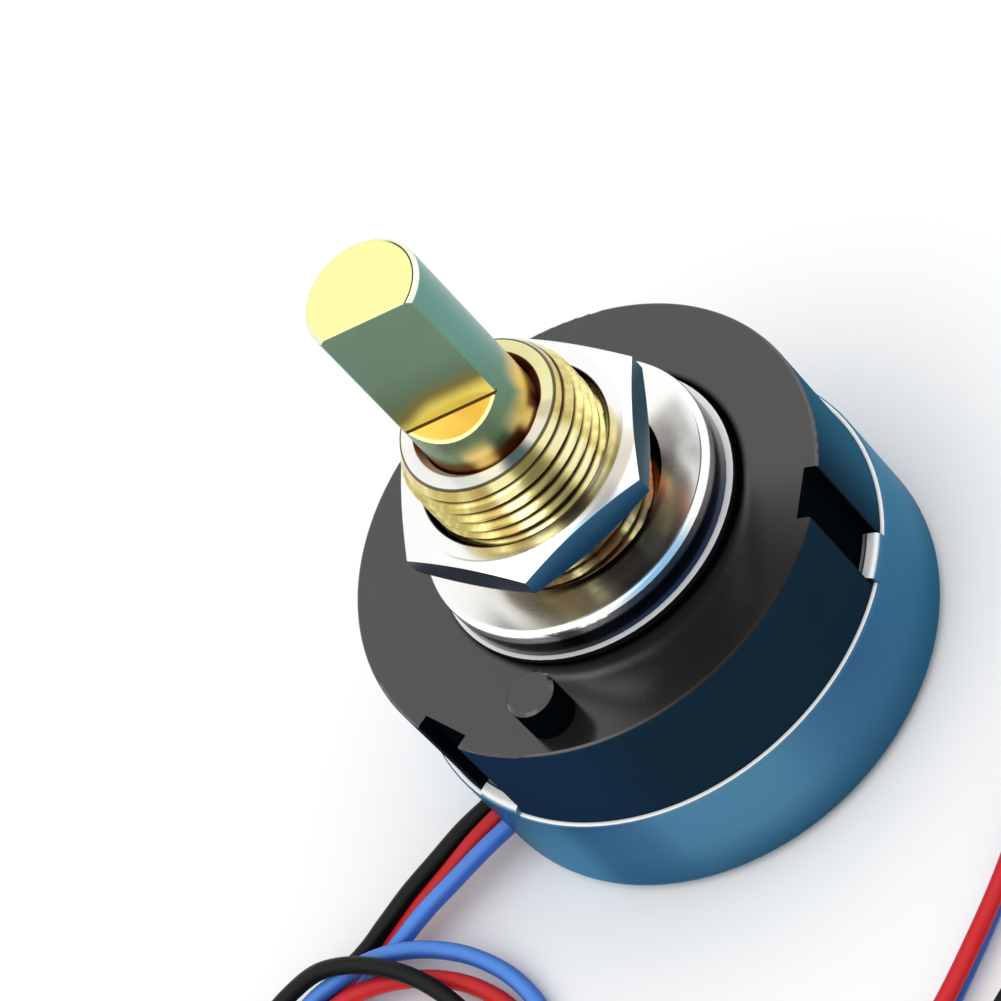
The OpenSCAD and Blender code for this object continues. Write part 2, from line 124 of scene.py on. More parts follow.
# Lanes count to the right of the way that a route runs
LEAD_LANE = {"black": 1, "red": 0, "blue": -1}
TAIL_LANE = {"black": 2, "blue": 0, "red": -1}
LEAD_ROUTE = [
    (-0.0128, 0, 0.0025), (-0.0146, 0, 0.0025), (-0.0166, 0, 0.0023), (-0.0186, 0, 0.0021),
    (-0.0206, 0, 0.0017), (-0.0226, 0, 0.0013),
]
TAIL_ROUTE = [
    (-0.0338, -0.0080, 0.0014), (-0.0340, -0.0110, 0.0013), (-0.0332, -0.0150, 0.0005),
    (-0.0314, -0.0190, 0.0005), (-0.0284, -0.0226, 0.0005), (-0.0246, -0.0256, 0.0005),
    (-0.0200, -0.0278, 0.0005), (-0.0150, -0.0286, 0.0005), (-0.0098, -0.0282, 0.0005),
    (-0.0048, -0.0271, 0.0005), (0.0000, -0.0252, 0.0005), (0.0044, -0.0230, 0.0005),
    (0.0086, -0.0202, 0.0005), (0.0122, -0.0168, 0.0005),
]
# Points of a route at which a lead leaves its lane: its lane there, and its lift in millimetres
LEAD_STRAY = {
    "black": {2: (0.92, 0), 3: (0.83, 0), 4: (0.72, 0), 5: (0.63, 0.02)},
    "red": {1: (0, -0.12), 2: (0, -0.3), 3: (0, -0.45), 4: (0, -0.58), 5: (0, -0.64)},
    "blue": {2: (-0.95, 0), 3: (-0.9, 0), 4: (-0.9, 0), 5: (-0.9, 0)},
}
TAIL_STRAY = {
    "black": {9: (2.25, 0), 10: (2.5, 0), 11: (2.4, 0), 12: (2.15, 0)},
    "blue": {9: (-0.25, 0), 10: (-0.55, 0), 11: (-0.75, 0), 12: (-0.2, 0)},
    "red": {
        6: (-1, 0.12), 7: (-0.85, 0.48), 8: (-0.5, 0.84), 9: (-0.05, 0.9), 10: (-0.2, 0.88),
        11: (-0.42, 0.92), 12: (-0.85, 0.75),
    },
}
# Turn of the loop in degrees, with the radius and the height of a lead there, in millimetres
LOOP_CENTRE = Vector((-0.0260, -0.0073, 0))
LOOP_KEYS = {
    "black": [
        (95, 8.15, 0.95), (120, 8.55, 0.5), (142, 8.35, 0.5), (164, 8.1, 0.5), (186, 7.8, 0.5),
        (208, 7.55, 0.5), (230, 7.75, 0.6), (250, 7.95, 1.7), (270, 7.5, 2.35), (288, 6.85, 1.9),
        (305, 6.2, 1.1), (322, 5.8, 0.55), (340, 5.65, 0.5), (357, 5.6, 0.85), (372, 5.65, 1.4),
        (386, 5.85, 2.0), (399, 6.1, 2.55), (412, 6.43, 3.02), (425, 6.92, 3.3), (438, 7.65, 3.1),
        (450, 8.28, 2.5), (463, 8.75, 1.95), (480, 9.0, 1.5), (498, 9.2, 1.25), (515, 9.4, 1.1),
    ],
    "red": [
        (95, 7.3, 0.6), (120, 7.6, 0.5), (142, 7.4, 0.5), (164, 7.15, 0.5), (186, 6.85, 0.5),
        (208, 6.6, 0.5), (230, 6.8, 0.5), (250, 7.3, 1.05), (270, 7.5, 1.44), (290, 7.42, 1.02),
        (312, 7.5, 0.5), (334, 7.55, 0.5), (354, 7.4, 0.55), (373, 7.0, 0.85), (390, 6.6, 1.3),
        (408, 6.25, 1.75), (425, 6.15, 1.95), (440, 6.2, 1.9), (458, 6.4, 1.6), (480, 6.65, 1.45),
        (498, 6.8, 1.45), (515, 6.9, 1.45),
    ],
    "blue": [
        (95, 6.4, 0.65), (120, 6.65, 0.5), (142, 6.45, 0.5), (164, 6.2, 0.5), (186, 5.9, 0.5),
        (208, 5.65, 0.5), (230, 5.8, 0.5), (250, 6.45, 0.5), (270, 7.5, 0.5), (290, 8.2, 0.5),
        (312, 8.6, 0.5), (330, 8.7, 0.5), (347, 8.65, 0.5), (364, 8.45, 0.75), (380, 8.2, 1.2),
        (394, 7.9, 1.75), (407, 7.55, 2.3), (421, 7.3, 2.45), (436, 7.25, 2.2), (452, 7.5, 1.75),
        (480, 7.75, 1.45), (498, 7.85, 1.45), (515, 7.9, 1.45),
    ],
}

# Plain finishes of the small and the hidden pieces: two tones, metallic, roughness, waves to the metre
PLAIN_FINISHES = {
    "grommet_rubber": ((0.010, 0.010, 0.011), (0.020, 0.020, 0.021), 0, 0.6, 900),
    "spring_steel": ((0.30, 0.31, 0.33), (0.42, 0.43, 0.45), 0.9, 0.3, 900),
    "thrust_plastic": ((0.74, 0.71, 0.62), (0.82, 0.79, 0.70), 0, 0.45, 900),
    "holder_plastic": ((0.03, 0.03, 0.035), (0.06, 0.06, 0.065), 0, 0.5, 900),
    "magnet_nickel": ((0.55, 0.54, 0.51), (0.66, 0.65, 0.62), 0.95, 0.2, 900),
    "board_laminate": ((0.02, 0.18, 0.08), (0.04, 0.24, 0.11), 0, 0.3, 900),
    "chip_epoxy": ((0.02, 0.02, 0.02), (0.035, 0.035, 0.036), 0, 0.55, 900),
    "tinned_metal": ((0.62, 0.63, 0.65), (0.80, 0.81, 0.82), 0.95, 0.25, 2500),
    "capacitor_ceramic": ((0.44, 0.31, 0.18), (0.54, 0.40, 0.25), 0, 0.35, 900),
    "spacer_fibre": ((0.62, 0.54, 0.35), (0.74, 0.66, 0.46), 0, 0.6, 900),
}
# Insulation of the leads: two tones, the upper side's tone as a painted highlight, and the gloss
INSULATION = {
    "black_insulation": ((0.001, 0.002, 0.001), (0.004, 0.006, 0.004), (0.013, 0.014, 0.013), 0.11),
    "red_insulation": ((0.48, 0.008, 0.012), (0.62, 0.016, 0.020), (0.58, 0.024, 0.030), 0.18),
    "blue_insulation": ((0.020, 0.080, 0.38), (0.050, 0.160, 0.58), (0.110, 0.300, 0.82), 0.18),
}


def link(piece):
    """Puts an object into the scene."""
    bpy.context.scene.collection.objects.link(piece)
    return piece


def add_camera():
    """Camera at the photograph's place, with its roll."""
    data = bpy.data.cameras.new("camera")
    data.lens = CAMERA_LENS
    data.sensor_width = CAMERA_SENSOR
    data.sensor_fit = "HORIZONTAL"
    data.clip_end = CAMERA_REACH
    camera = link(bpy.data.objects.new("camera", data))
    look = (CAMERA_AIM - CAMERA_AT).to_track_quat("-Z", "Y").to_matrix().to_4x4()
    camera.matrix_world = Matrix.Translation(CAMERA_AT) @ look @ Matrix.Rotation(CAMERA_ROLL, 4, "Z")
    bpy.context.scene.camera = camera


class Value:
    """An output of a shader node that takes part in shader maths."""

    def __init__(self, graph, socket):
        self.graph = graph
        self.socket = socket

    def __add__(self, other):
        return self.graph.math("ADD", self, other)

    def __sub__(self, other):
        return self.graph.math("SUBTRACT", self, other)

    def __rsub__(self, other):
        return self.graph.math("SUBTRACT", other, self)

    def __mul__(self, other):
        return self.graph.math("MULTIPLY", self, other)

    def __truediv__(self, other):
        return self.graph.math("DIVIDE", self, other)

    def __pow__(self, other):
        return self.graph.math("POWER", self, other)

    __radd__ = __add__
    __rmul__ = __mul__

    def most(self, other):
        """The larger of two values."""
        return self.graph.math("MAXIMUM", self, other)

    def size(self):
        """The value without its sign."""
        return self.graph.math("ABSOLUTE", self)

    def step(self, start, end):
        """0 before start, 1 after end and smooth between them."""
        inputs = {"Value": self, "From Min": start, "From Max": end}
        return self.graph.node("ShaderNodeMapRange", {"interpolation_type": "SMOOTHSTEP"}, inputs)

    def band(self, low, high, edge):
        """1 between low and high, fading out over edge."""
        return self.step(low - edge, low) * (1 - self.step(high, high + edge))

    def mix(self, first, second):
        """Colour that goes from first at 0 to second at 1."""
        settings = {"data_type": "RGBA", "clamp_factor": True}
        return self.graph.node("ShaderNodeMix", settings, {0: self, 6: first, 7: second}, 2)


class Graph:
    """The nodes of a material or of the world, and short ways to make them."""

    def __init__(self, owner, shader="Principled BSDF"):
        owner.use_nodes = True
        self.owner = owner
        self.nodes = owner.node_tree.nodes
        self.links = owner.node_tree.links
        self.shader = self.nodes[shader]

    def node(self, kind, settings=None, inputs=None, output=0):
        """A node with its settings and inputs; returns one of its outputs."""
        made = self.nodes.new(kind)
        for name, value in (settings or {}).items():
            setattr(made, name, value)
        for name, value in (inputs or {}).items():
            self.feed(made.inputs[name], value)
        return Value(self, made.outputs[output])

    def feed(self, socket, value):
        """Links or sets one input."""
        if isinstance(value, Value):
            self.links.new(value.socket, socket)
        elif socket.type == "RGBA" and len(value) == 3:
            socket.default_value = (*value, 1)
        else:
            socket.default_value = value

    def set(self, **inputs):
        """Inputs of the shader, with spaces of their names written as underscores."""
        for name, value in inputs.items():
            self.feed(self.shader.inputs[name.replace("_", " ")], value)
        return self.owner

    def math(self, operation, *values):
        """A Math node on values and numbers."""
        return self.node("ShaderNodeMath", {"operation": operation}, dict(enumerate(values)))

    def place(self):
        """Coordinates on the object, in metres."""
        return self.node("ShaderNodeTexCoord", output="Object")

    def stretched(self, scale):
        """Coordinates on the object, scaled along each axis."""
        return self.node("ShaderNodeVectorMath", {"operation": "MULTIPLY"}, {0: self.place(), 1: scale})

    def vector(self, *parts):
        """A vector from its first parts."""
        return self.node("ShaderNodeCombineXYZ", None, dict(enumerate(parts)))

    def parts(self, vector):
        """X, Y and Z of a vector."""
        split = self.node("ShaderNodeSeparateXYZ", inputs={0: vector})
        return [Value(self, socket) for socket in split.socket.node.outputs]

    def place_mm(self):
        """X, Y and Z on the object, in millimetres."""
        return self.parts(self.stretched((1 / MM, 1 / MM, 1 / MM)))

    def around(self, centre=(0, 0)):
        """Distance from an upright line, in millimetres, and the unit vector away from it."""
        x, y = self.place_mm()[:2]
        out_x = x - centre[0]
        out_y = y - centre[1]
        radius = (out_x ** 2 + out_y ** 2) ** 0.5
        return radius, (out_x / radius, out_y / radius)

    def facing(self):
        """Direction of the surface on the object, as X, Y and Z."""
        return self.parts(self.node("ShaderNodeTexCoord", output="Normal"))

    def facing_up(self):
        """Upward part of the surface's direction."""
        return self.facing()[2]

    def towards(self, turn, parts):
        """Part of a vector that runs towards an angle from +X."""
        x, y = parts[:2]
        return x * math.cos(math.radians(turn)) + y * math.sin(math.radians(turn))

    def lobe(self, turn, parts, half):
        """1 where a unit vector points to an angle from +X, fading to 0 at half degrees from it."""
        return self.towards(turn, parts).step(math.cos(math.radians(half)), 1.0)

    def noise(self, scale, detail=3.0, rough=0.5, vector=None):
        """Noise from 0 to 1; scale is in waves to the metre, or to the unit of a vector."""
        inputs = {"Vector": vector or self.place(), "Scale": scale, "Detail": detail, "Roughness": rough}
        return self.node("ShaderNodeTexNoise", None, inputs)

    def bump(self, height, strength, depth, edge=None):
        """Normal from a height, with a depth and the radius of rounded edges in millimetres."""
        inputs = {"Height": height, "Strength": strength, "Distance": depth * MM}
        if edge:
            inputs["Normal"] = self.node("ShaderNodeBevel", {"samples": 6}, {"Radius": edge * MM})
        return self.node("ShaderNodeBump", None, inputs)


def new_finish(name):
    """Graph of a new material."""
    return Graph(bpy.data.materials.new(name))


def any_of(*masks):
    """1 where any of the masks is 1."""
    return functools.reduce(Value.most, masks)


def housing_plastic():
    """Moulded black plastic: glossy face that mirrors what stands on it, cold blue side with painted
    reflections, painted shade in the notches, round the thin washer and on the pin's side, finely sparked.
    """
    g = new_finish("housing_plastic")
    z = g.place_mm()[2]
    radius, way = g.around()
    grain = g.noise(9000, 4, 0.6)
    cloud = g.noise(260, 3)
    on_top = g.facing_up().step(0.2, 0.6)

    side = cloud.mix((0.006, 0.019, 0.032), (0.009, 0.025, 0.045))
    # Painted reflections on the side: a navy sweep to the lower left, lighter teal towards the right
    side = (g.lobe(216, way, 30) * 0.9).mix(side, (0.009, 0.025, 0.060))
    side = g.lobe(2, way, 42).mix(side, (0.026, 0.108, 0.180))
    # Painted shade on the walls inside the notches
    in_notch = 1 - radius.step(BODY_R - 0.10, BODY_R - 0.03)
    side = in_notch.mix(side, (0.001, 0.003, 0.004))

    face = cloud.mix((0.010, 0.009, 0.008), (0.015, 0.014, 0.013))
    shade = 1 - g.around(SHADE_CENTRE)[0].step(8.02, 8.4)
    face = shade.mix(face, (0.001, 0.001, 0.001))
    colour = on_top.mix(side, face)
    # Painted shade on the pin's side
    pin_side = z.step(FACE_TOP + 0.02, FACE_TOP + 0.2) * (1 - on_top)
    colour = pin_side.mix(colour, (0.001, 0.002, 0.003))

    sheen = on_top * (1 - shade) * (1 - 0.85 * g.lobe(280, way, 48))
    g.set(Base_Color=colour, Roughness=0.5, Specular_IOR_Level=0.0)
    g.set(Coat_Weight=sheen, Coat_Roughness=0.18, Coat_IOR=1.76)
    return g.set(Normal=g.bump(grain, 0.10, 0.03, 0.15))


def can_metal():
    """Drawn sheet: steel blue with painted reflections as lighter and darker sweeps round the wall and
    painted shade low on the front, painted highlights on the rim and tab crowns, painted shade on the rim's
    top and the tabs' inner part.
    """
    g = new_finish("can_metal")
    x, y, z = g.place_mm()
    radius, way = g.around()
    up = g.facing_up()
    lines = g.noise(300, 4, 0.65, g.stretched(DRAWN_LINES))
    cloud = g.noise(90, 3)

    wall = cloud.step(0.3, 0.7).mix((0.045, 0.150, 0.285), (0.072, 0.205, 0.350))
    # Painted reflections: lighter and darker sweeps round the wall
    wall = g.lobe(250, way, 30).mix(wall, (0.084, 0.238, 0.370))
    wall = g.lobe(203, way, 16).mix(wall, (0.100, 0.260, 0.430))
    wall = (g.lobe(224, way, 14) * 0.7).mix(wall, (0.052, 0.120, 0.255))
    wall = (g.lobe(300, way, 36) * 0.9).mix(wall, (0.042, 0.140, 0.270))
    # Painted shade: darker towards the bottom on the front
    low = (1 - z.step(0.4, 3.6)) * g.towards(290, way).step(-0.1, 0.9)
    wall = low.mix(wall, (0.026, 0.098, 0.180))
    wall = (lines * 0.2).mix(wall, (0.09, 0.23, 0.37))

    # Painted shade on the top of the can's edge beside the housing and, grey, on the tabs' inner part;
    # painted highlights on the rim and the tabs' crowns
    top = up.step(0.55, 0.9) * z.step(CAN_TOP - 0.5, CAN_TOP - 0.42)
    tab = any_of(*[tab_mask(g, turn, (x, y)) for turn in NOTCH_TURNS])
    tab = tab * z.step(CAN_TOP + 0.02, CAN_TOP + 0.10)
    rim = top * radius.step(BODY_R + 0.01, BODY_R + 0.05) * up.step(0.7, 0.9)
    crown = top * tab * radius.step(TAB_STEP_R + 0.06, TAB_STEP_R + 0.12)
    ledge = top * tab * (1 - radius.step(TAB_STEP_R - 0.02, TAB_STEP_R + 0.02))
    colour = top.mix(wall, (0.015, 0.018, 0.022))
    colour = (ledge * 0.6).mix(colour, (0.40, 0.40, 0.40))
    colour = rim.most(crown).mix(colour, (0.97, 0.97, 0.97))

    g.set(Base_Color=colour, Metallic=0.97 - 0.84 * top, Roughness=0.30 + 0.16 * lines)
    return g.set(Normal=g.bump(lines, 0.10, 0.03), Specular_Tint=(0.45, 0.70, 0.80))


def tab_mask(g, turn, place):
    """1 over the can's tab in the notch at an angle from +X."""
    across = g.towards(turn + 90, place).size()
    return g.towards(turn, place).step(10.0, 10.5) * (1 - across.step(1.25, 1.3))


def bushing_brass():
    """Turned brass: bright and dark streaks on the barrel, partly painted highlights and reflections,
    grooves and foot painted dark as shade, pale end and brown bore painted as reflections and shade.
    """
    g = new_finish("bushing_brass")
    x, y, z = g.place_mm()
    radius, way = g.around()
    fine = g.noise(400, 4, 0.6, g.stretched(TURNED_LINES))
    streak = g.noise(700, 3, 0.6, g.stretched((1.0, 1.0, 0.06)))

    side = streak.step(0.36, 0.66).mix((0.50, 0.40, 0.12), (0.84, 0.74, 0.31))
    # Painted highlights and reflections: bright and dark bands round the barrel
    side = (g.lobe(250, way, 14) * 0.9).mix(side, (0.97, 0.90, 0.46))
    side = (g.lobe(296, way, 14) * 0.9).mix(side, (0.95, 0.90, 0.50))
    side = g.lobe(272, way, 15).mix(side, (0.20, 0.175, 0.062))
    side = (g.lobe(236, way, 10) * 0.7).mix(side, (0.38, 0.26, 0.075))
    # Painted shade along the bottom of the thread's grooves
    winds = z * (MM / THREAD_PITCH) - g.math("ARCTAN2", y, x) / FULL_TURN
    depth = 1 - (g.math("FRACT", winds) - 0.5).size() / GROOVE_HALF
    depth = depth - 0.22 * z.step(BUSHING_TOP - 1.3, BUSHING_TOP - 0.9)
    groove = depth.step(0.36, 0.66) * radius.step(4.16, 4.22) * z.step(FACE_TOP + 0.7, FACE_TOP + 0.9)
    colour = groove.mix(side, (0.030, 0.016, 0.003))

    # Foot of the barrel: painted shade under the nut, with painted glints and a painted warm reflection
    glint = g.lobe(245, way, 12).most(g.lobe(291, way, 9)) * streak.step(0.3, 0.6)
    shade = (1 - z.step(NUT_FOOT - 0.5, NUT_FOOT + 0.5)) * (1 - glint)
    dusk = streak.step(0.4, 0.6).mix((0.028, 0.010, 0.006), (0.110, 0.046, 0.022))
    colour = (shade * 0.85).mix(colour, dusk)
    # Painted warm reflection on the barrel just under the nut, to the right
    warm_reflection = (1 - z.step(NUT_FOOT - 0.7, NUT_FOOT)) * g.lobe(332, way, 17)
    warm_reflection_tone = streak.step(0.42, 0.58).mix((0.10, 0.026, 0.008), (0.50, 0.13, 0.03))
    colour = (warm_reflection * 0.9).mix(colour, warm_reflection_tone)

    # End face and mouth of the bore with painted reflections, a painted highlight and painted shade, and a
    # painted dark line round the end
    end = z.step(BUSHING_TOP - 0.10, BUSHING_TOP - 0.04) * g.facing_up().step(0.7, 0.95)
    # Painted reflections on the end face: white to yellow, dark blue at the front
    pale = g.towards(25, (x, y)).step(-0.5, 3.2).mix((0.96, 0.95, 0.92), (0.92, 0.89, 0.44))
    pale = (g.lobe(270, way, 17) * 0.95).mix(pale, (0.05, 0.11, 0.13))
    pale = (g.lobe(311, way, 10) * 0.5).mix(pale, (0.42, 0.37, 0.30))
    colour = end.mix(colour, pale)
    # Painted shade inside the mouth, with a painted highlight on the lit side of its rim
    mouth = (1 - radius.step(3.42, 3.46)) * z.step(BUSHING_TOP - 3.8, BUSHING_TOP - 2.8)
    rim = radius.step(3.08, 3.14) * g.lobe(214, way, 62).most(g.lobe(305, way, 15))
    colour = mouth.mix(colour, rim.mix((0.16, 0.052, 0.014), (0.90, 0.84, 0.64)))
    line = radius.band(4.06, 4.16, 0.03) * z.step(BUSHING_TOP - 0.14, BUSHING_TOP - 0.08)
    colour = (line * 0.9).mix(colour, (0.05, 0.035, 0.010))

    g.set(Base_Color=colour, Metallic=0.92 - 0.62 * end.most(mouth * rim), Roughness=0.16 + 0.12 * fine)
    return g.set(Normal=g.bump(fine, 0.08, 0.02))


def shaft_brass():
    """Satin brass of the shaft: greenish sides of painted reflection, pale tip, painted gold reflection
    round the foot of the flat.
    """
    g = new_finish("shaft_brass")
    x, y, z = g.place_mm()
    radius = g.around()[0]
    facing = g.facing()
    up = facing[2]
    fine = g.noise(400, 4, 0.6, g.stretched(TURNED_LINES))
    cloud = g.noise(300, 3)

    # Painted reflections: green-grey sides, lighter higher up and teal towards the right; plain brass on the
    # back
    side = cloud.mix((0.128, 0.196, 0.104), (0.166, 0.250, 0.142))
    side = (z.step(28, 31) * 0.9).mix(side, cloud.mix((0.164, 0.276, 0.180), (0.202, 0.322, 0.218)))
    side = (g.towards(350, facing).step(0.2, 0.95) * z.step(23, 30)).mix(side, (0.115, 0.285, 0.245))
    side = facing[1].step(0.15, 0.75).mix(side, cloud.mix((0.44, 0.37, 0.17), (0.56, 0.48, 0.24)))

    # Flat with a painted gold reflection above its foot, the ramp that it ends in with a painted highlight
    # round its rim, and painted shade in the edge between them
    flat = g.towards(FLAT_TURN, facing).step(0.9, 0.99) * z.step(FLAT_FOOT - 0.3, FLAT_FOOT - 0.1)
    across = g.towards(FLAT_TURN + 90, (x, y))
    rise = z - FLAT_FOOT + 0.8 * across.step(-0.4, -2.4)
    gold = rise.step(0.5, 1.7).mix((0.99, 0.87, 0.19), (0.26, 0.20, 0.045))
    colour = (flat * (1 - rise.step(1.2, 2.6))).mix(side, gold)
    ramp = up.step(0.6, 0.8) * (1 - z.step(FLAT_FOOT + 1.3, FLAT_FOOT + 2.3))
    colour = ramp.mix(colour, cloud.step(0.3, 0.7).mix((0.47, 0.28, 0.036), (0.64, 0.42, 0.078)))
    colour = (ramp * radius.step(2.80, 2.90)).mix(colour, (0.92, 0.80, 0.34))
    chord = z.band(FLAT_FOOT - 0.05, FLAT_FOOT + 0.05, 0.03)
    chord = chord * g.towards(FLAT_TURN, (x, y)).band(1.72, 1.88, 0.03)
    colour = chord.mix(colour, (0.06, 0.03, 0.006))

    # Foot of the shaft, where it stands in the bushing: painted glints and bright and dark painted
    # reflections
    above = z - BUSHING_TOP
    high_glint = g.lobe(336, facing, 26) * (1 - above.step(1.1, 3.2))
    low_glint = g.lobe(318, facing, 44).most(g.lobe(246, facing, 20)) * (1 - above.step(0.3, 1.9))
    colour = high_glint.most(low_glint).mix(colour, (0.84, 0.60, 0.19))
    foot = 1 - above.step(-0.1, 0.7)
    shine = any_of(g.lobe(246, facing, 16), g.lobe(306, facing, 20), g.lobe(346, facing, 20) * 0.7)
    colour = foot.mix(colour, shine.mix((0.32, 0.13, 0.028), (0.99, 0.86, 0.46)))

    # Tip, its bevel with a painted highlight, and a painted shade line beside it
    at_tip = z.step(SHAFT_TOP - 0.4, SHAFT_TOP - 0.3)
    tip = up.step(0.5, 0.9) * at_tip
    colour = tip.mix(colour, (0.96, 0.93, 0.40))
    bevel = up.band(0.4, 0.85, 0.1) * at_tip
    colour = bevel.mix(colour, (0.86, 0.88, 0.72))
    line = radius.band(2.73, 2.79, 0.02) * tip * g.towards(330, (x, y)).step(1.2, 2.0)
    colour = line.mix(colour, (0.06, 0.06, 0.02))

    g.set(Base_Color=colour, Metallic=0.97, Roughness=0.26 + 0.12 * fine)
    return g.set(Normal=g.bump(fine, 0.08, 0.02, 0.14))


def nut_steel():
    """Plated nut: mirror bright top and bevels, grey and steel blue flats painted as reflections, painted
    reflections and shade on the top, with light rub marks.
    """
    g = new_finish("nut_steel")
    z = g.place_mm()[2]
    radius, way = g.around()
    facing = g.facing()
    up = facing[2]
    cloud = g.noise(500, 4, 0.6)
    marks = g.noise(1500, 5, 0.7)

    top = cloud.mix((0.95, 0.95, 0.94), (0.99, 0.99, 0.98))
    side = cloud.mix((0.20, 0.22, 0.24), (0.30, 0.32, 0.34))
    # Painted reflections on the flats: teal to the right, navy to the left, blue lighter upwards at the
    # front; less metallic there
    right = g.lobe(328, facing, 40)
    left = g.lobe(208, facing, 40)
    front = g.lobe(268, facing, 40)
    side = right.mix(side, cloud.mix((0.022, 0.074, 0.105), (0.034, 0.096, 0.130)))
    side = left.mix(side, (0.018, 0.026, 0.046))
    shine = z.step(NUT_FOOT + 0.2, NUT_FOOT + 1.9) * (0.6 + 0.6 * cloud)
    side = front.mix(side, shine.mix((0.013, 0.068, 0.150), (0.050, 0.170, 0.320)))
    level = up.size().step(0.1, 0.4)
    reflection_facets = (1 - level) * any_of(right, left, front)
    colour = level.mix(side, top)

    # Painted reflections and shade on the top, a painted dark line at the bevel, and painted shade in the
    # countersink round the thread
    on_top = up.step(0.8, 0.9)
    tint = g.lobe(272, way, 24) * radius.step(5.9, 6.15) * up.step(0.5, 0.9)
    colour = (tint * 0.8).mix(colour, (0.30, 0.52, 0.66))
    line = radius.band(5.77, 5.83, 0.03) * up.step(0.8, 0.86) * g.lobe(222, way, 30)
    colour = (line * 0.7).mix(colour, (0.30, 0.30, 0.28))
    brown_reflection = g.lobe(300, way, 34) * radius.band(5.6, 6.3, 0.25) * on_top
    colour = (brown_reflection * 0.75).mix(colour, (0.36, 0.31, 0.24))
    dark = g.lobe(274, way, 16) * (1 - radius.step(5.6, 6.1)) * on_top
    colour = (dark * 0.7).mix(colour, (0.24, 0.22, 0.19))
    sink = (1 - radius.step(5.05, 5.12)) * up.step(0.2, 0.4)
    colour = sink.mix(colour, (0.025, 0.016, 0.010))

    g.set(Base_Color=colour, Metallic=0.98 - 0.55 * reflection_facets, Roughness=0.14 + 0.10 * marks)
    return g.set(Normal=g.bump(marks, 0.04, 0.02, 0.10), Specular_IOR_Level=0.12)


def washer_steel():
    """Plated washer, faced on a lathe: mirror bright top and round edge with dusky sweeps; the sweeps, the
    blue of the edge and the dark side are painted reflections, with painted shade by the hole and a painted
    dark line at the top's edge.
    """
    g = new_finish("washer_steel")
    z = g.place_mm()[2]
    radius, way = g.around(WASHER_CENTRE)
    rings = g.noise(1, 3, 0.6, g.vector(radius * 9.0))
    rays = g.noise(1.6, 3, 0.6, g.vector(*way))

    top = rays.step(0.35, 0.65).mix((0.95, 0.94, 0.90), (0.99, 0.99, 0.97))
    # Painted reflections: darker sweeps on the top where the nut and barrel stand over it
    top = (g.lobe(335, way, 22) * (1 - radius.step(5.7, 6.6))).mix(top, (0.30, 0.28, 0.26))
    top = (g.lobe(346, way, 16) * (1 - radius.step(6.6, 7.5)) * 0.7).mix(top, (0.40, 0.38, 0.36))
    dusk = radius.step(6.5, 7.2).mix((0.36, 0.39, 0.46), (0.17, 0.19, 0.23))
    top = (g.lobe(274, way, 36) * 0.95).mix(top, dusk)
    top = (g.lobe(281, way, 10) * 0.7).mix(top, (0.14, 0.16, 0.20))
    # Painted shade round the hole on the front
    top = (g.lobe(266, way, 56) * (1 - radius.step(5.45, 5.8))).mix(top, (0.030, 0.016, 0.010))

    # Painted reflections: blue on the round edge at the front, dark and bluish on the side
    edge = (g.lobe(276, way, 24) * 0.9).mix((0.96, 0.96, 0.95), (0.20, 0.44, 0.70))
    side = g.towards(285, way).step(0.6, 1.0).mix((0.008, 0.008, 0.010), (0.012, 0.028, 0.070))
    colour = z.step(WASHER_TOP - 0.86, WASHER_TOP - 0.60).mix(side, edge)
    colour = g.facing_up().step(0.90, 0.99).mix(colour, top)
    # Painted shade: a thin dark line where the top meets the round edge
    line = radius.band(7.32, 7.37, 0.03) * z.step(WASHER_TOP - 0.08, WASHER_TOP - 0.03)
    colour = (line * g.lobe(318, way, 30) * 0.8).mix(colour, (0.05, 0.05, 0.05))

    g.set(Base_Color=colour, Metallic=0.97, Roughness=0.16 + 0.12 * rings)
    return g.set(Normal=g.bump(rings, 0.05, 0.02))


def thin_steel():
    """Thin washer: bright top, edge painted dark as shade."""
    g = new_finish("thin_steel")
    cloud = g.noise(900, 4, 0.6)
    top = cloud.mix((0.94, 0.94, 0.94), (0.99, 0.99, 0.99))
    # Painted shade: the edge dark against the bright top
    colour = g.facing_up().step(0.3, 0.7).mix((0.012, 0.012, 0.014), top)
    g.set(Base_Color=colour, Metallic=0.3, Roughness=0.24 + 0.12 * cloud)
    return g.set(Normal=g.bump(cloud, 0.04, 0.02))


def insulation(name, low, high, top, gloss):
    """Smooth wire insulation, with a painted highlight on its upper side and a faint unevenness."""
    g = new_finish(name)
    cloud = g.noise(600, 3)
    fine = g.noise(4000, 3)
    # Painted highlight on the upper side
    colour = (g.facing_up().step(0.35, 1.0) * 0.8).mix(cloud.mix(low, high), top)
    g.set(Base_Color=colour, Roughness=0.32 + 0.14 * cloud, Specular_IOR_Level=gloss)
    return g.set(Normal=g.bump(fine, 0.1, 0.02))


def mottled(name, low, high, metallic, rough, scale):
    """Plain finish with a cloudy colour and grain."""
    g = new_finish(name)
    cloud = g.noise(scale, 4, 0.6)
    g.set(Base_Color=cloud.mix(low, high), Metallic=metallic, Roughness=rough + 0.15 * cloud)
    return g.set(Normal=g.bump(cloud, 0.12, 0.03))


def make_paints():
    """Finishes by the names of the record's slots, or of a node that has its own."""
    paints = {
        "housing_plastic": housing_plastic(),
        "can_metal": can_metal(),
        "bushing_brass": bushing_brass(),
        "shaft_brass": shaft_brass(),
        "plated_steel": nut_steel(),
        "flat_washer": washer_steel(),
        "thin_washer": thin_steel(),
    }
    for name, values in PLAIN_FINISHES.items():
        paints[name] = mottled(name, *values)
    for name, values in INSULATION.items():
        paints[name] = insulation(name, *values)
    return paints


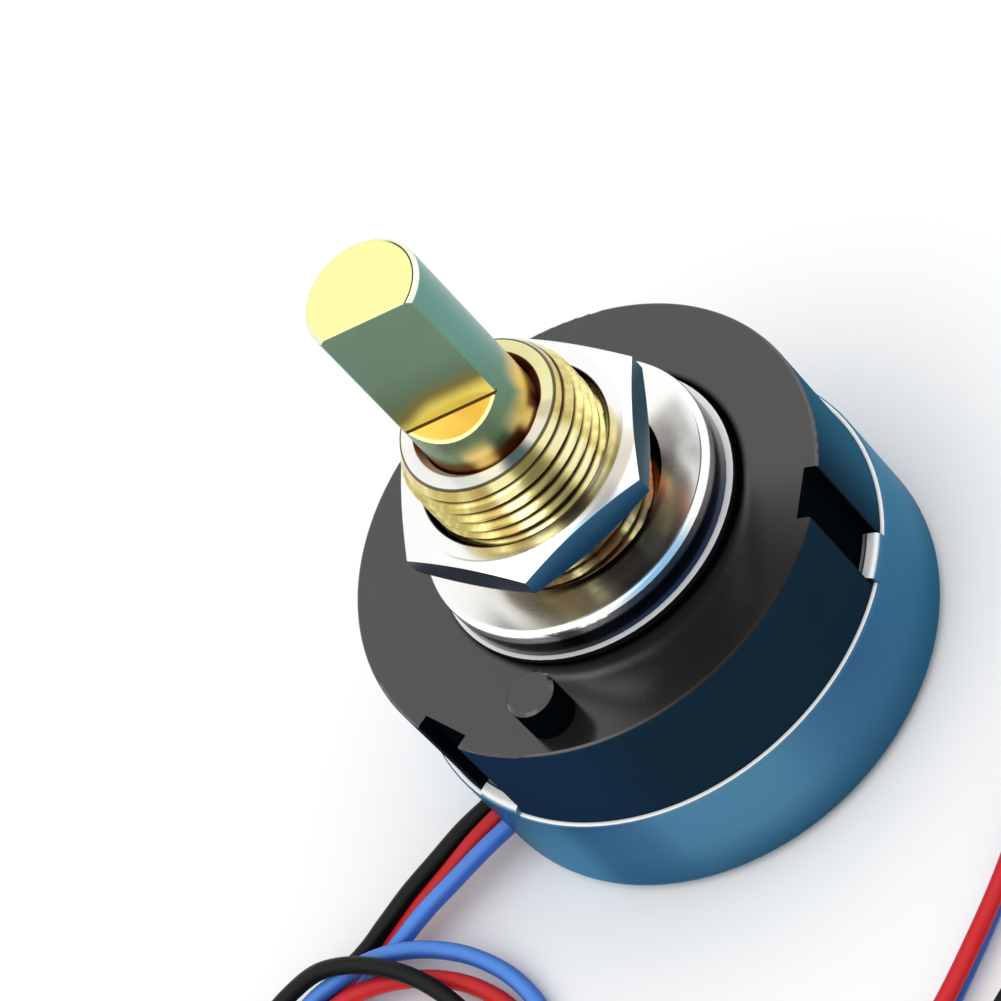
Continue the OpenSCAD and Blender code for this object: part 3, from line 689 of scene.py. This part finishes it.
def paint_nodes(paints):
    """Finish of every solid, by its own name or by its slot in the record."""
    for entry in frame["record"]["subparts"]:
        node = frame["nodes"][entry["node"]]
        node.data.materials.clear()
        node.data.materials.append(paints.get(entry["node"]) or paints[entry["material_slot"]])


def along(points, steps):
    """Smooth points through the given ones, steps to a span."""
    ends = [points[0] * 2 - points[1]] + points + [points[-1] * 2 - points[-2]]
    smooth = []
    for a, b, c, d in zip(ends, ends[1:], ends[2:], ends[3:]):
        for i in range(steps):
            t = i / steps
            bent = (2 * a - 5 * b + 4 * c - d) * t**2 + (3 * b - a - 3 * c + d) * t**3
            smooth.append(0.5 * (2 * b + (c - a) * t + bent))
    return smooth + [points[-1]]


def in_lane(route, lane, stray):
    """Points of a route, moved to the right by a lane, or as far as the lead strays from it."""
    points = [Vector(p) for p in route]
    moved = []
    for i, point in enumerate(points):
        way = points[min(i + 1, len(points) - 1)] - points[max(i - 1, 0)]
        shift, lift = stray.get(i, (lane, 0))
        moved.append(point + shift * WIRE_PITCH * way.cross(UP).normalized() + lift * MM * UP)
    return moved


def lead_points(colour):
    """Route of one lead from its pad on the board to its end."""
    lane = LEAD_LANE[colour]
    z = LEAD_ROUTE[0][2]
    inner = [
        Vector((STRIP_X, lane * PAD_PITCH, z)),
        Vector((STRIP_X - STUB, lane * PAD_PITCH, z)),
        Vector(((STRIP_X + STRAIGHT_X) / 2, lane * (PAD_PITCH + WIRE_PITCH) / 2, z)),
        Vector((STRAIGHT_X, lane * WIRE_PITCH, z)),
    ]
    outer = in_lane(LEAD_ROUTE, lane, LEAD_STRAY[colour])
    loop = []
    for turn, radius, height in LOOP_KEYS[colour]:
        a = math.radians(turn)
        loop.append(LOOP_CENTRE + Vector((radius * math.cos(a), radius * math.sin(a), height)) * MM)
    tail = in_lane(TAIL_ROUTE, TAIL_LANE[colour], TAIL_STRAY[colour])
    return inner + outer + loop + tail


def add_curve(name, points, diameter, material):
    """Round wire along the points."""
    data = bpy.data.curves.new(name, "CURVE")
    data.dimensions = "3D"
    data.bevel_depth = diameter / 2
    data.bevel_resolution = WIRE_ROUNDNESS
    data.use_fill_caps = True
    spline = data.splines.new("POLY")
    spline.points.add(len(points) - 1)
    for place, point in zip(spline.points, points):
        place.co = (*point, 1)
    spline.use_smooth = True
    data.materials.append(material)
    return link(bpy.data.objects.new(name, data))


def add_leads(paints):
    """The three leads, each as one curve in place of its solids."""
    for colour, lane in LEAD_LANE.items():
        route = along(lead_points(colour), SPAN_STEPS)
        route = [Vector((p.x, p.y, max(p.z, WIRE_D / 2))) for p in route]
        piece = add_curve(colour + "_lead", route, WIRE_D, paints[colour + "_insulation"])
        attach(piece, "housing")
        nodes = [colour + "_wire"] + (["wire_coil"] if colour == "black" else [])
        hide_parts(*nodes)


def add_mesh(name, vertices, faces, material):
    """Mesh object with smooth shading up to a sharp angle."""
    mesh = bpy.data.meshes.new(name)
    mesh.from_pydata(vertices, [], faces)
    mesh.materials.append(material)
    mesh.shade_smooth()
    mesh.set_sharp_from_angle(angle=SHARP_ANGLE)
    return link(bpy.data.objects.new(name, mesh))


def lathe(rings, segments):
    """Vertices and faces of a closed turned form; a ring gives its (radius, height) at an angle."""
    vertices = []
    for ring in rings:
        for k in range(segments):
            a = FULL_TURN * k / segments
            radius, z = ring(a)
            vertices.append((radius * math.cos(a), radius * math.sin(a), z))
    faces = []
    count = len(rings)
    for i in range(count):
        j = (i + 1) % count
        for k in range(segments):
            m = (k + 1) % segments
            faces.append((i * segments + k, i * segments + m, j * segments + m, j * segments + k))
    return vertices, faces


def thread_ring(z, end_z):
    """Ring of the threaded barrel at the height z, cut back to the bevel at its end."""
    bevel = TIP_R + (THREAD_R - TIP_R) * (end_z - z) / BEVEL_LENGTH

    def ring(a):
        phase = (z / THREAD_PITCH - a / FULL_TURN) % 1
        groove = max(0.0, 1 - abs(phase - 0.5) / GROOVE_HALF)
        return min(THREAD_R - THREAD_DEPTH * groove, bevel), z

    return ring


def plain_ring(radius, z):
    """Ring of one radius and height."""
    return lambda a: (radius, z)


def add_bushing(paint):
    """Bushing with its thread, in place of the plain solid."""
    low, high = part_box("bushing")
    flange_r = high[0]
    rear_z = low[2]
    end_z = high[2]
    flange_z = rear_z + FLANGE_THICKNESS
    step_z = rear_z + REAR_BORE_LENGTH
    barrel = end_z - flange_z
    rows = int(barrel / THREAD_PITCH * ROWS_TO_A_TURN)
    rings = [plain_ring(REAR_BORE_R, rear_z), plain_ring(flange_r, rear_z), plain_ring(flange_r, flange_z)]
    rings += [thread_ring(flange_z + barrel * i / rows, end_z) for i in range(rows + 1)]
    rings += [plain_ring(MOUTH_R, end_z), plain_ring(BORE_R, end_z - MOUTH_DEPTH)]
    rings += [plain_ring(BORE_R, step_z), plain_ring(REAR_BORE_R, step_z)]
    piece = add_mesh("bushing_thread", *lathe(rings, BUSHING_SEGMENTS), paint)
    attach(piece, "housing")
    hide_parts("bushing")


def add_floor():
    """Pale floor with a faint unevenness."""
    g = new_finish("floor")
    tone = g.noise(30, 3).mix((0.93, 0.93, 0.93), (0.95, 0.95, 0.95))
    paint = g.set(Base_Color=tone, Roughness=0.9, Specular_IOR_Level=0.1)
    corners = [(x * FLOOR_HALF, y * FLOOR_HALF, 0) for x, y in ((-1, -1), (1, -1), (1, 1), (-1, 1))]
    floor = add_mesh("floor", corners, [(0, 1, 2, 3)], paint)


def add_light():
    """White world, a little weaker as light than where it is seen, and soft lamps."""
    g = Graph(bpy.data.worlds.new("studio"), "Background")
    seen = any_of(*[g.node("ShaderNodeLightPath", output=ray) for ray in SEEN_RAYS])
    levels = {"Value": seen, "To Min": WORLD_LIGHT, "To Max": WORLD_SEEN}
    strength = g.node("ShaderNodeMapRange", None, levels)
    bpy.context.scene.world = g.set(Color=(1, 1, 1), Strength=strength)
    for name, (place, power) in LAMPS.items():
        data = bpy.data.lights.new(name, "AREA")
        data.size = LAMP_WIDTH
        data.energy = power
        lamp = link(bpy.data.objects.new(name, data))
        lamp.location = place
        lamp.rotation_euler = (CAMERA_AIM - Vector(place)).to_track_quat("-Z", "Y").to_euler()


add_camera()
paints = make_paints()
add_leads(paints)
paint_nodes(paints)
add_bushing(paints["bushing_brass"])
add_floor()
add_light()
bpy.context.scene.view_settings.view_transform = "Standard"
